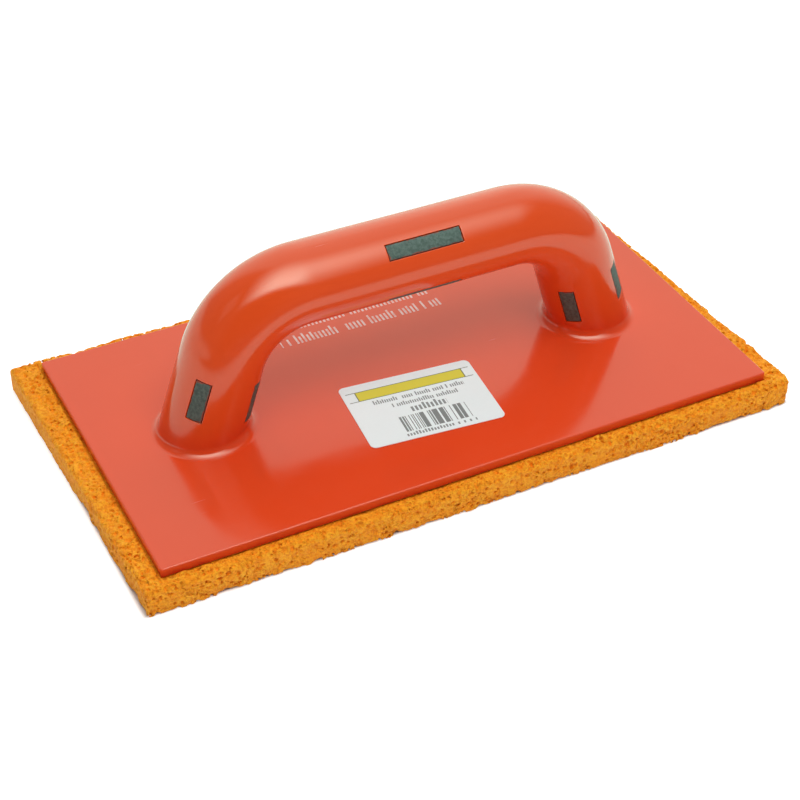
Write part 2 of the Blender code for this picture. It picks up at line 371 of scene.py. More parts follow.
def window_walls(body, outer, inner, runs, angles, hole, station):
    """One window's rounded rim and its wall down to the handle's bore."""
    rows, columns = perimeter(*hole)
    start, end = STATIONS[station]
    middle = (angles[hole[2]] + angles[hole[3]]) / 2
    half_angle = (BLOCK_WIDTH / 2 + FIT_GAP) / GRIP_ACROSS
    last = outer[rows, columns]
    for step in range(1, WINDOW_ROUND_STEPS + 1):
        turn = math.pi / 2 * step / WINDOW_ROUND_STEPS
        offset = WINDOW_ROUND * (1 - math.sin(turn))
        depth = WINDOW_ROUND * (1 - math.cos(turn))
        run = np.clip(runs[rows], start - FIT_GAP - offset, end + FIT_GAP + offset)
        spread = half_angle + offset / GRIP_ACROSS
        angle = np.clip(angles[columns], middle - spread, middle + spread)
        ring = body.add(skin_points(run, angle, depth))
        body.band(last, ring)
        last = ring
    body.band(last, inner[rows, columns])


def rim_ring(height, inset):
    """The plate's outline at a height, a distance in from its side."""
    arc = np.linspace(0, math.pi / 2, PLATE_CORNER_POINTS)
    points = []
    for quarter in range(4):
        sign_x = 1 if quarter in (0, 3) else -1
        sign_y = 1 if quarter in (0, 1) else -1
        for angle in arc + quarter * math.pi / 2:
            x = sign_x * (PLATE_HALF[0] - PLATE_CORNER) + (PLATE_CORNER - inset) * math.cos(angle)
            y = sign_y * (PLATE_HALF[1] - PLATE_CORNER) + (PLATE_CORNER - inset) * math.sin(angle)
            points.append((x, y, height))
    return points


def rim_rings(body):
    """The plate's edge, from its top face round to its underside."""
    profile = [(PLATE_TOP, PLATE_EDGE_ROUND + RIM_SUPPORT)]
    for turn in np.linspace(0, math.pi / 2, PLATE_EDGE_RINGS):
        drop = PLATE_EDGE_ROUND * (1 - math.cos(turn))
        profile.append((PLATE_TOP - drop, PLATE_EDGE_ROUND * (1 - math.sin(turn))))
    profile += [(PLATE_TOP + PLATE_BOTTOM - height, inset) for height, inset in reversed(profile)]
    rings = [body.add(rim_ring(height, inset)) for height, inset in profile]
    for ring, other in zip(rings, rings[1:]):
        body.band(ring, other)
    return rings[0], rings[-1]


def foot(body, side, leg_ring, bore_ring, angles):
    """A leg's foot: its fillet out to the plate's top face, and its bore down to the underside."""
    last = leg_ring
    leg_points = np.concatenate(body.blocks)[leg_ring]
    fillet_top = fillet_ring(side, 0, 0, angles)
    shares = np.linspace(0, 1, LEG_END_RINGS + 1)[1:]
    rings = [leg_points + (fillet_top - leg_points) * share for share in shares]
    shares = np.linspace(0, 1, FILLET_RINGS + 1)[1:]
    rings += [fillet_ring(side, share, 0, angles) for share in shares]
    rings += [fillet_ring(side, 1, extra, angles) for extra in FOOT_MARGINS]
    for ring in rings:
        added = body.add(ring)
        body.band(last, added)
        last = added
    bore_end = body.add(level_ring(side, PLATE_BOTTOM, SKIN, angles))
    body.band(bore_ring, bore_end)
    return last, bore_end


def body_moulding(material):
    """The plate and the handle's skin: one closed surface with twelve windows and a bore through it."""
    body = Surface()
    angles, half_window = window_angles()
    runs, margin = window_runs()
    outer = body.add(skin_points(runs[:, None], angles[None, :], 0))
    inner = body.add(skin_points(runs[:, None], angles[None, :], SKIN))
    holes = []
    for station, (start, end) in STATIONS.items():
        rows = [int(np.argmin(abs(runs - run))) for run in (start - margin, end + margin)]
        for angle in BLOCK_ANGLES:
            columns = [int(np.argmin(abs(angles - a))) for a in (angle - half_window, angle + half_window)]
            holes.append((*rows, *columns))
            window_walls(body, outer, inner, runs, angles, holes[-1], station)
    body.faces += grid_quads(outer, holes) + grid_quads(inner, holes)
    feet = [foot(body, -1, outer[0], inner[0], angles), foot(body, 1, outer[-1], inner[-1], angles)]
    top_rim, bottom_rim = rim_rings(body)
    body.cap(top_rim, [top for top, _ in feet])
    body.cap(bottom_rim, [bore for _, bore in feet])
    stand_for(body.make("plate_and_handle", material), "red_plastic", "body_moulding")


# ---------------------------------------------------------------- spacer blocks


def spacer_block(name, node, start, end, middle, material):
    """One block: a rough, slightly worn face in the skin, and plain walls down to the core."""
    block = Surface()
    half = BLOCK_WIDTH / 2 / GRIP_ACROSS
    columns = np.linspace(-1, 1, round(BLOCK_WIDTH / BLOCK_STEP) + 1)
    rows = np.linspace(-1, 1, int((end - start) / BLOCK_STEP) + 1)
    half_length = (end - start) / 2
    run = (start + end) / 2 + rows[:, None] * half_length + 0 * columns[None, :]
    angle = middle + columns[None, :] * half + 0 * rows[:, None]
    to_side = BLOCK_WIDTH / 2 * (1 - abs(columns))[None, :]
    to_end = half_length * (1 - abs(rows))[:, None]
    edge = np.minimum(to_side, to_end)
    worn = BLOCK_WEAR_DEPTH * np.clip(1 - edge / BLOCK_WEAR_WIDTH, 0, 1) ** 2
    flat = skin_points(run, angle, 0)
    grain = 0
    for size, height in BLOCK_GRAIN:
        lumps = [noise.noise(Vector(p) / (size * MM)) for p in flat.reshape(-1, 3)]
        grain = grain + np.array(lumps).reshape(flat.shape[:2]) * height * MM
    face = block.add(skin_points(run, angle, worn + grain + BLOCK_SINK))
    base = block.add(skin_points(run, angle, SKIN))
    block.close_sheets(face, base)
    made = block.make(name, material)
    made.data.set_sharp_from_angle(angle=math.radians(50))
    from_edge = made.data.attributes.new("from_edge", "FLOAT", "POINT")
    from_edge.data.foreach_set("value", np.tile(edge.ravel() / MM, 2).astype(np.float32))
    stand_for(made, "spacer_rubber", node)


def spacer_blocks(material):
    """The four blocks of each station, in the order of their angles."""
    for station, (start, end) in STATIONS.items():
        places = GRIP_PLACES if station == "grip" else LEG_PLACES
        for place, angle in zip(places, BLOCK_ANGLES):
            name = f"{station}_{place}"
            spacer_block("block_" + name, "spacer_" + name, start, end, angle, material)


# ---------------------------------------------------------------- label


def paper_label(material):
    """A thin sheet with round corners, its rows of points narrowing towards its long edges."""
    sheet = Surface()
    half_x, half_y = LABEL_SIZE[0] / 2, LABEL_SIZE[1] / 2
    straight = np.linspace(-1, 1, 31) * (half_y - LABEL_CORNER)
    arc = np.sin(np.linspace(0, math.pi / 2, 10)[1:]) * LABEL_CORNER
    y = np.concatenate([-(half_y - LABEL_CORNER) - arc[::-1], straight, half_y - LABEL_CORNER + arc])
    past = np.clip(abs(y) - (half_y - LABEL_CORNER), 0, LABEL_CORNER)
    reach = half_x - LABEL_CORNER + np.sqrt(LABEL_CORNER**2 - past**2)
    x = np.linspace(-1, 1, 61)[None, :] * reach[:, None]
    y = y[:, None] + 0 * x
    turned_x = LABEL_CENTRE.x + x * math.cos(LABEL_TURN) - y * math.sin(LABEL_TURN)
    turned_y = LABEL_CENTRE.y + x * math.sin(LABEL_TURN) + y * math.cos(LABEL_TURN)
    wave_x, wave_y = LABEL_RIPPLE_WAVES
    top = label_high.z + LABEL_RIPPLE * np.sin(x / wave_x) * np.cos(y / wave_y)
    bottom = 0 * x + PLATE_TOP + LABEL_GAP
    sheet.close_sheets(*[sheet.add(np.stack([turned_x, turned_y, z], -1)) for z in (top, bottom)])
    made = sheet.make("paper_label", material)
    made.data.set_sharp_from_angle(angle=math.radians(40))
    stand_for(made, "label_paper", "product_label")


# ---------------------------------------------------------------- sponge

SPONGE_STEP = 0.45 * MM
SPONGE_MARGIN = 1.8 * MM
SPONGE_SEED = 7
# Upright corners are tight in the left half and widen to the right end; edges round over more upwards
CORNER_ROUND = 0.4 * MM
CORNER_WIDENING = 1.3 * MM
EDGE_ROUND = 0.4 * MM
EDGE_WIDENING = 1.5 * MM
# The outline is swollen a little, and the lumps, chips and pores take that back
SPONGE_SWELL = 0.4 * MM
# The top is held down under the plate and rises to a ledge over a short distance beyond it
COVERED_TOP = film_low.z - 0.15 * MM
COVERED_MARGIN = 0.3 * MM
LEDGE_RISE = 1.2 * MM
LEDGE_EASE = 1.1 * MM
# The left end is cut clean: the share of roughness left at it, how wide the change is, and how many
# millimetres shallower its pores are
CLEAN_CUT = 0.15
CLEAN_CUT_WIDTH = 4 * MM
CLEAN_CUT_PORES = 0.4
# The size and height of each layer of lumps, in millimetres, from broad to fine
LUMPS = ((17, 0.3), (7, 0.3), (3.4, 0.45), (1.4, 0.32))
# Chips out of the lower edge: their size, their depth in millimetres and how high up they reach
CHIP_SIZE = 4 * MM
CHIP_DEPTH = 1.7
CHIP_REACH = 2.5 * MM
# Cell size, smallest and largest pore radius, and the share of cells that hold a pore
PORE_KINDS = (
    (3.6 * MM, 0.75 * MM, 1.05 * MM, 0.5),
    (1.7 * MM, 0.5 * MM, 0.78 * MM, 1.0),
    (1.5 * MM, 0.42 * MM, 0.66 * MM, 1.0),
)
PORE_STRETCH = (0.75, 1.3)
# How far inside the outline a pore's centre may be, and how far outside, as a share of its radius
PORE_DEPTH = 0.7 * MM
PORE_RISE = 0.75
PORE_RIM_ROUND = 0.12 * MM
# How far the single face under the plate stays inside the plate's outline
LID_INSET = 3 * MM


def sponge_sides():
    """The sponge's four sides as (normal x, normal y, distance from the origin), from its CAD corners."""
    corners = {(round(v.co.x, 6), round(v.co.y, 6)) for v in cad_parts["sponge_pad"].data.vertices}
    corners = sorted(corners, key=lambda c: math.atan2(c[1], c[0]))
    sides = []
    for (x, y), (next_x, next_y) in zip(corners, corners[1:] + corners[:1]):
        length = math.hypot(next_x - x, next_y - y)
        normal = ((next_y - y) / length, -(next_x - x) / length)
        sides.append((*normal, normal[0] * x + normal[1] * y))
    return sides


def slab_distance(x, y, z):
    """About how far each point is outside the sponge's smooth outline; negative inside."""
    corner = CORNER_ROUND + CORNER_WIDENING * np.clip(x / sponge_high.x, 0, 1)
    side = 0
    for normal_x, normal_y, offset in sponge_sides():
        side = side + np.exp((normal_x * x + normal_y * y - offset) / corner)
    side = corner * np.log(side) - SPONGE_SWELL
    beyond_plate = np.maximum(abs(x) - PLATE_HALF[0], abs(y) - PLATE_HALF[1])
    rise = np.clip(beyond_plate / LEDGE_EASE, 0, 1)
    top = COVERED_TOP + LEDGE_RISE * rise * rise * (3 - 2 * rise)
    level = np.maximum(z - top, -z)
    edge = EDGE_ROUND + EDGE_WIDENING * np.clip(z / sponge_high.z, 0, 1)
    out_side, out_level = side + edge, level + edge
    outside = np.hypot(np.maximum(out_side, 0), np.maximum(out_level, 0))
    return outside + np.minimum(np.maximum(out_side, out_level), 0) - edge


def interpolation(coords, cell, count):
    """A matrix that reads count evenly spaced values at each coordinate, easing between neighbours."""
    place = (coords - coords[0]) / cell
    index = place.astype(int)
    share = place - index
    share = share * share * (3 - 2 * share)
    rows = np.arange(len(coords))
    matrix = np.zeros((len(coords), count), np.float32)
    matrix[rows, index] = 1 - share
    matrix[rows, index + 1] = share
    return matrix


def noise_block(axes, cell, random):
    """Smooth noise from -1 to 1 over a block of points."""
    counts = [int((coords[-1] - coords[0]) / cell) + 2 for coords in axes]
    values = random.uniform(-1, 1, counts).astype(np.float32)
    for axis, (coords, count) in enumerate(zip(axes, counts)):
        values = np.tensordot(interpolation(coords, cell, count), values, (1, axis))
        values = np.moveaxis(values, 0, axis)
    return values


def pore_centres(kind, random):
    """Places, radii and stretches of one kind of pore, at most one to a cell, near the open surfaces."""
    cell, smallest, largest, share = kind
    low = np.array(sponge_low) - cell
    counts = np.ceil((np.array(sponge_high) - low) / cell).astype(int) + 1
    cells = np.stack(np.meshgrid(*[np.arange(n) for n in counts], indexing="ij"), -1).reshape(-1, 3)
    centres = low + (cells + random.uniform(0.1, 0.9, cells.shape)) * cell
    radii = random.uniform(smallest, largest, len(cells))
    stretch = random.uniform(*PORE_STRETCH, cells.shape)
    distance = slab_distance(*centres.T)
    covered = (abs(centres[:, 0]) < PLATE_HALF[0]) & (abs(centres[:, 1]) < PLATE_HALF[1])
    covered &= centres[:, 2] > sponge_high.z / 2
    near = (distance < radii * PORE_RISE) & (distance > -PORE_DEPTH) & ~covered
    keep = near & (random.uniform(0, 1, len(cells)) < share)
    return centres[keep], radii[keep], stretch[keep]


def pore_block(axes, random):
    """The distance into the nearest pore at each point of a block, positive inside a pore."""
    shape = [len(coords) for coords in axes]
    depth = np.full(shape, -PORE_DEPTH, np.float32)
    low = np.array([coords[0] for coords in axes])
    for kind in PORE_KINDS:
        centres, radii, stretch = pore_centres(kind, random)
        base = np.floor((centres - low) / SPONGE_STEP).astype(int)
        largest = kind[2] * PORE_STRETCH[1]
        reach = int(largest / SPONGE_STEP) + 1
        for offset in np.ndindex(*[2 * reach + 2] * 3):
            place = base + np.array(offset) - reach
            within = ((place >= 0) & (place < shape)).all(1)
            spot = place[within]
            away = (low + spot * SPONGE_STEP - centres[within]) / stretch[within]
            value = radii[within] - np.sqrt((away**2).sum(1))
            at = tuple(spot.T)
            depth[at] = np.maximum(depth[at], value)
    return depth


def soft_max(a, b, width):
    """The larger of two distances, rounded over where they cross."""
    return np.maximum(a, b) + np.maximum(width - abs(a - b), 0) ** 2 / (4 * width)


def sponge_block(axes):
    """The sponge's distance field: its outline with lumps and grain, less its chips and pores."""
    random = np.random.default_rng(SPONGE_SEED)
    x, y, z = np.meshgrid(*axes, indexing="ij", sparse=True)
    field = slab_distance(x, y, z).astype(np.float32)
    ragged = CLEAN_CUT + (1 - CLEAN_CUT) * np.clip((x - sponge_low.x) / CLEAN_CUT_WIDTH, 0, 1)
    for size, height in LUMPS:
        field += noise_block(axes, size * MM, random) * height * MM * ragged
    chips = np.clip(noise_block(axes, CHIP_SIZE, random), 0, 1) * np.exp(-z / CHIP_REACH)
    field += chips * CHIP_DEPTH * MM * ragged
    pores = pore_block(axes, random) - (1 - ragged) * CLEAN_CUT_PORES * MM
    field = soft_max(field, pores, PORE_RIM_ROUND)
    covered = np.maximum(abs(x) - PLATE_HALF[0], abs(y) - PLATE_HALF[1]) < COVERED_MARGIN
    field = np.where(covered, np.maximum(field, z - COVERED_TOP), field)
    return np.maximum(field, -z)


def surface_net(field, low, step):
    """Points, quads and each cell's point number, for the surface where a block of values crosses zero."""
    solid = field < 0
    corners = list(np.ndindex(2, 2, 2))
    views = [solid[a : a - 1 or None, b : b - 1 or None, c : c - 1 or None] for a, b, c in corners]
    filled = sum(view.astype(np.uint8) for view in views)
    cells = np.stack(np.nonzero((filled > 0) & (filled < 8)), -1)
    number = np.full(filled.shape, -1, np.int32)
    number[tuple(cells.T)] = np.arange(len(cells))
    values = {corner: field[tuple((cells + corner).T)] for corner in corners}
    total = np.zeros((len(cells), 3))
    crossings = np.zeros(len(cells))
    for corner in corners:
        for axis in range(3):
            if corner[axis]:
                continue
            far = tuple(c + (i == axis) for i, c in enumerate(corner))
            here, there = values[corner], values[far]
            crosses = (here < 0) != (there < 0)
            share = np.where(crosses, here / np.where(crosses, here - there, 1), 0)
            point = np.tile(np.array(corner, float), (len(cells), 1))
            point[:, axis] = share
            total += point * crosses[:, None]
            crossings += crosses
    points = low + (cells + total / crossings[:, None]) * step
    return points, net_quads(solid, number), number


def net_quads(solid, number):
    """A quad round each edge of the block whose two ends differ, facing the empty end."""
    quads = []
    for axis in range(3):
        across, beyond = (axis + 1) % 3, (axis + 2) % 3
        here = np.moveaxis(solid, (axis, across, beyond), (0, 1, 2))[:, 1:-1, 1:-1]
        cells = np.moveaxis(number, (axis, across, beyond), (0, 1, 2))
        edges = np.stack(np.nonzero(here[:-1] != here[1:]), -1)
        i, j, k = edges.T
        ring = [cells[i, j, k], cells[i, j + 1, k], cells[i, j + 1, k + 1], cells[i, j, k + 1]]
        ring = np.stack(ring, -1)
        leaving = here[i, j, k]
        quads.append(np.where(leaving[:, None], ring, ring[:, ::-1]))
    return np.concatenate(quads)


def largest_part(count, quads):
    """Which points belong to the largest connected part of a mesh."""
    ends = np.concatenate([quads[:, :2], quads[:, 1:3], quads[:, 2:]])
    label = np.arange(count)
    while True:
        first, second = label[ends[:, 0]], label[ends[:, 1]]
        if (first == second).all():
            return label == np.bincount(label).argmax()
        np.minimum.at(label, np.maximum(first, second), np.minimum(first, second))
        while (label[label] != label).any():
            label = label[label]


def covered_patch(low):
    """The topmost cells under the plate, as (first x, last x, first y, last y, level)."""
    bounds = []
    for axis in (0, 1):
        for sign in (-1, 1):
            bounds.append(int((sign * (PLATE_HALF[axis] - LID_INSET) - low[axis]) / SPONGE_STEP))
    level = int((COVERED_TOP - low[2]) / SPONGE_STEP)
    return (*bounds, level)


def sponge(material):
    """The foam slab as one mesh, with a single face in place of the topmost cells under the plate.

    Known fault: where a lump dents the top below those cells, the mesh is open round the dent.
    """
    low = np.array(sponge_low) - SPONGE_MARGIN
    high = np.array(sponge_high) + SPONGE_MARGIN
    axes = [np.arange(a, b + SPONGE_STEP, SPONGE_STEP) for a, b in zip(low, high)]
    points, quads, number = surface_net(sponge_block(axes), low, SPONGE_STEP)
    first_x, last_x, first_y, last_y, level = covered_patch(low)
    patch = number[first_x : last_x + 1, first_y : last_y + 1, level]
    in_patch = np.zeros(len(points), bool)
    in_patch[patch.ravel()] = True
    keep = largest_part(len(points), quads)
    quads = quads[keep[quads[:, 0]] & ~in_patch[quads].all(1)]
    rows, columns = perimeter(0, patch.shape[0] - 1, 0, patch.shape[1] - 1)
    lid = patch[rows, columns][::-1]
    faces = quads.tolist() + [lid.tolist()]
    used = np.zeros(len(points), bool)
    used[quads.ravel()] = True
    renumber = np.cumsum(used) - 1
    points = points[used]
    faces = [[int(renumber[i]) for i in face] for face in faces]
    made = mesh_object("open_cell_sponge", points, faces, material)
    # Each point's depth below the smooth outline, which the foam's material uses to paint shade in the
    # pores.
    depth = made.data.attributes.new("pore_depth", "FLOAT", "POINT")
    depth.data.foreach_set("value", (-slab_distance(*points.T) / MM).astype(np.float32))
    stand_for(made, "sponge", "sponge_pad")


# ---------------------------------------------------------------- materials


class Value:
    """A number or vector that a material works out at each point; arithmetic on it adds Math nodes."""

    def __init__(self, graph, socket):
        self.graph, self.socket = graph, socket

    def __add__(self, other):
        return self.graph.math("ADD", self, other)

    def __sub__(self, other):
        return self.graph.math("SUBTRACT", self, other)

    def __mul__(self, other):
        return self.graph.math("MULTIPLY", self, other)

    def __truediv__(self, other):
        return self.graph.math("DIVIDE", self, other)

    def __gt__(self, other):
        return self.graph.math("GREATER_THAN", self, other)

    def __lt__(self, other):
        return self.graph.math("LESS_THAN", self, other)

    def largest(self, other):
        return self.graph.math("MAXIMUM", self, other)

    def floor(self):
        return self.graph.math("FLOOR", self)

    def fraction(self):
        return self.graph.math("FRACT", self)

    def size(self):
        return self.graph.math("ABSOLUTE", self)

    def between(self, low, high):
        return (self > low) * (self < high)

    def near(self, first, second, margin):
        """1 within a margin of either of two values, and 0 elsewhere."""
        return ((self - (first + second) / 2).size() - (second - first) / 2).size() < margin

    def ramp(self, low, high, start=0.0, end=1.0):
        """Runs smoothly from start to end as this value goes from low to high."""
        node = self.graph.node("ShaderNodeMapRange", interpolation_type="SMOOTHSTEP")
        self.graph.feed(node, {0: self, 1: low, 2: high, 3: start, 4: end})
        return Value(self.graph, node.outputs[0])


class Graph:
    """A material or a world, and short calls that add nodes to it."""

    def __init__(self, name, kind=bpy.data.materials, shader="Principled BSDF"):
        self.owner = kind.new(name)
        self.owner.use_nodes = True
        self.tree = self.owner.node_tree
        self.shader = self.tree.nodes[shader]

    def node(self, kind, **settings):
        made = self.tree.nodes.new(kind)
        for key, value in settings.items():
            setattr(made, key, value)
        return made

    def feed(self, node, inputs):
        for key, value in inputs.items():
            if isinstance(value, Value):
                self.tree.links.new(value.socket, node.inputs[key])
            else:
                node.inputs[key].default_value = value

    def math(self, operation, *values):
        node = self.node("ShaderNodeMath", operation=operation)
        self.feed(node, dict(enumerate(values)))
        return Value(self, node.outputs[0])

    def place(self):
        """Where a point is, in millimetres."""
        coordinate = self.node("ShaderNodeTexCoord")
        node = self.node("ShaderNodeVectorMath", operation="SCALE")
        self.feed(node, {0: Value(self, coordinate.outputs["Object"]), "Scale": 1 / MM})
        return Value(self, node.outputs[0])

    def local(self, centre, turn):
        """A point's x, y and z in millimetres, seen from a centre and turned about Z."""
        return self.turned(self.place(), [c / MM for c in centre], turn)

    def turned(self, vector, centre, turn):
        """A vector's x, y and z, seen from a centre and turned about Z."""
        mapping = self.node("ShaderNodeMapping", vector_type="TEXTURE")
        self.feed(mapping, {0: vector, 1: centre, 2: (0, 0, turn)})
        split = self.node("ShaderNodeSeparateXYZ")
        self.feed(split, {0: Value(self, mapping.outputs[0])})
        return [Value(self, out) for out in split.outputs]

    def stretched(self, vector, turn, scale):
        mapping = self.node("ShaderNodeMapping")
        self.feed(mapping, {0: vector, 2: (0, 0, turn), 3: scale})
        return Value(self, mapping.outputs[0])

    def noise(self, vector, size, detail=2.0, roughness=0.5):
        """Noise from 0 to 1 whose lumps are about size millimetres across."""
        node = self.node("ShaderNodeTexNoise")
        self.feed(node, {"Vector": vector, "Scale": 1 / size, "Detail": detail, "Roughness": roughness})
        return Value(self, node.outputs["Fac"])

    def cells(self, vector, size):
        """The distance to the nearest of many scattered points about size millimetres apart."""
        node = self.node("ShaderNodeTexVoronoi")
        self.feed(node, {"Vector": vector, "Scale": 1 / size})
        return Value(self, node.outputs["Distance"])

    def random(self, value):
        node = self.node("ShaderNodeTexWhiteNoise", noise_dimensions="1D")
        self.feed(node, {"W": value})
        return Value(self, node.outputs["Value"])

    def attribute(self, name):
        return Value(self, self.node("ShaderNodeAttribute", attribute_name=name).outputs["Fac"])

    def mix(self, share, first, second):
        """From the first colour to the second as share goes from 0 to 1."""
        node = self.node("ShaderNodeMix", data_type="RGBA")
        colours = [c if isinstance(c, Value) else (*c, 1) for c in (first, second)]
        self.feed(node, {0: share, 6: colours[0], 7: colours[1]})
        return Value(self, node.outputs[2])

    def bump(self, height, distance, under=None):
        """A bump whose height of 0 to 1 stands for a distance in millimetres."""
        node = self.node("ShaderNodeBump")
        self.feed(node, {"Height": height, "Distance": distance * MM, "Strength": 1})
        if under:
            self.feed(node, {"Normal": under})
        return Value(self, node.outputs[0])

    def dashes(self, x, y, left, right, base, seed, height, pitch, fill=0.6):
        """A row of upright dashes of uneven height and spacing, as plain printed filler."""
        along = x / pitch
        chance = self.random(along.floor() + seed)
        tall = (chance * 7.0).fraction().ramp(0.6, 0.9, 0.7, 1.0) * height
        inked = (along.fraction() < fill) * (chance > 0.13)
        above = y - base
        return inked * x.between(left, right) * (above > 0) * (above < tall)

    def finish(self, **inputs):
        self.feed(self.shader, {key.replace("_", " "): value for key, value in inputs.items()})
        return self.owner


def red_plastic():
    """Glossy orange-red polypropylene with a faint orange peel, a few scuffs, a white pad print, and a more
    orange handle as painted light.
    """
    graph = Graph("red_plastic")
    place = graph.place()
    x, y, above = graph.local(PRINT_CENTRE, PRINT_TURN)
    mottle = graph.noise(place, 30, 3)
    plate = graph.mix(mottle, (0.74, 0.061, 0.013), (0.77, 0.071, 0.017))
    # Painted light: the handle, one moulding with the plate, turns more orange from 2 to 12 mm above the
    # plate, standing in for light scattered through its plastic.
    handle = graph.mix(mottle, (0.73, 0.068, 0.011), (0.76, 0.082, 0.015))
    colour = graph.mix(above.ramp(2, 12), plate, handle)
    scuff = graph.noise(graph.stretched(place, math.radians(12), (0.05, 1.6, 1)), 1.0, 1)
    patch = graph.noise(place, 22, 2).ramp(0.60, 0.70)
    scratches = scuff.ramp(0.74, 0.80) * patch
    printed = [graph.dashes(x, y, *row, **PRINT_DASH) for row in PRINT_ROWS]
    worn = graph.noise(place, 1.2, 3).ramp(0.3, 0.6, 0.4, 0.8)
    printed = printed[0].largest(printed[1]) * worn * (above.size() < 0.3)
    colour = graph.mix(scratches * 0.2, colour, (0.85, 0.45, 0.38))
    colour = graph.mix(printed, colour, (0.86, 0.74, 0.70))
    roughness = graph.noise(place, 9, 4).ramp(0.2, 0.8, 0.10, 0.16) + scratches * 0.25
    peel = graph.bump(graph.noise(place, 1.6, 2), 0.006)
    wave = graph.bump(graph.noise(place, 28, 1), 0.10, peel)
    return graph.finish(Base_Color=colour, Roughness=roughness, Normal=wave)


def spacer_rubber():
    """Rough, mottled grey-green plastic, with the red skin smeared a little over its edges."""
    graph = Graph("spacer_rubber")
    place = graph.place()
    mottle = graph.noise(place, 1.1, 4, 0.65).ramp(0.3, 0.7)
    colour = graph.mix(mottle, (0.040, 0.056, 0.048), (0.095, 0.128, 0.112))
    specks = graph.cells(place, 0.9) < 0.16
    colour = graph.mix(specks * 0.5, colour, (0.02, 0.022, 0.02))
    flash = graph.attribute("from_edge") - graph.noise(place, 3.0, 3).ramp(0.35, 0.7, -0.1, 0.6)
    colour = graph.mix(flash.ramp(-0.1, 0.1, 0.75, 0.0), colour, (0.30, 0.040, 0.016))
    grain = graph.bump(graph.noise(place, 0.35, 3, 0.7), 0.05)
    return graph.finish(Base_Color=colour, Roughness=0.6, Normal=grain)


def core_plastic():
    """Dull, nearly black moulded plastic."""
    graph = Graph("core_plastic")
    place = graph.place()
    colour = graph.mix(graph.noise(place, 4, 3), (0.020, 0.018, 0.014), (0.045, 0.036, 0.028))
    grain = graph.bump(graph.noise(place, 0.8, 3), 0.03)
    return graph.finish(Base_Color=colour, Roughness=0.6, Normal=grain)


def adhesive():
    """Brushed-on contact adhesive, amber and uneven."""
    graph = Graph("adhesive")
    place = graph.place()
    strokes = graph.noise(graph.stretched(place, 0, (0.15, 1, 1)), 2.0, 3)
    colour = graph.mix(strokes, (0.32, 0.17, 0.04), (0.62, 0.40, 0.14))
    return graph.finish(Base_Color=colour, Roughness=0.4, Normal=graph.bump(strokes, 0.08))


def sponge_foam():
    """Open-cell orange foam: bright walls, painted shade that darkens the colour deeper in the pores and in
    pinholes, and fine cells all over.
    """
    graph = Graph("sponge_foam")
    place = graph.place()
    fine = graph.cells(place, 0.7)
    # Painted shade in pinholes: a darker colour at some of the dents that the fine cells make.
    shaded_pinholes = fine.ramp(0.12, 0.34, 1, 0) * (graph.noise(place, 2.5, 2) > 0.45)
    tone = graph.noise(place, 5, 4, 0.6)
    colour = graph.mix(tone.ramp(0.3, 0.7), (0.98, 0.335, 0.011), (1.0, 0.435, 0.024))
    flecks = graph.noise(place, 1.1, 2, 0.6).ramp(0.42, 0.62)
    colour = graph.mix(flecks * 0.75, colour, (0.86, 0.235, 0.008))
    # Painted shade: the colour turns a darker, browner orange deeper below the smooth outline, in the
    # pores.
    depth = graph.attribute("pore_depth").ramp(0.3, 1.5)
    colour = graph.mix(depth, colour, (0.93, 0.28, 0.014))
    # Painted shade: the pinholes are darkened.
    colour = graph.mix(shaded_pinholes * 0.4, colour, (0.80, 0.25, 0.020))
    grain = graph.bump(graph.noise(place, 0.5, 3, 0.7), 0.16)
    cells = graph.bump(fine.ramp(0.1, 0.5), 0.22, grain)
    return graph.finish(Base_Color=colour, Roughness=0.8, Specular_IOR_Level=0.3, Normal=cells)


def label_paper():
    """White coated paper with generic print: a yellow bar between two rules, filler rows and stripes."""
    graph = Graph("label_paper")
    x, y, _ = graph.local(LABEL_CENTRE, LABEL_TURN)
    width, height = LABEL_SIZE[0] / MM, LABEL_SIZE[1] / MM
    across = x / width + 0.5
    down = y / -height + 0.5
    fibre = graph.noise(graph.place(), 0.6, 3)
    colour = graph.mix(fibre, (0.78, 0.88, 0.88), (0.82, 0.92, 0.92))
    bar_across, bar_down = (0.10, 0.91), (0.12, 0.265)
    bar = across.between(*bar_across) * down.between(*bar_down)
    colour = graph.mix(bar, colour, (0.69, 0.61, 0.004))
    rules = across.between(0.03, 0.97) * down.near(*bar_down, 0.005)
    ends = down.between(*bar_down) * across.near(*bar_across, 0.004)
    colour = graph.mix(rules.largest(ends) * 0.85, colour, (0.05, 0.06, 0.03))
    for base, size, left, right, pitch, seed in LABEL_ROWS:
        sides = [(share - 0.5) * width for share in (left, right)]
        marks = graph.dashes(x, y, *sides, (0.5 - base) * height, seed, size, pitch)
        colour = graph.mix(marks * 0.75, colour, INK)
    stripes = graph.random((x / 0.36).floor()) > 0.42
    stripes = stripes * across.between(0.29, 0.785) * down.between(0.64, 0.88)
    colour = graph.mix(stripes * 0.8, colour, INK)
    ripple = graph.bump(graph.noise(graph.place(), 6, 2), 0.03)
    return graph.finish(Base_Color=colour, Roughness=0.42, Normal=ripple)


# ---------------------------------------------------------------- stage, light and camera


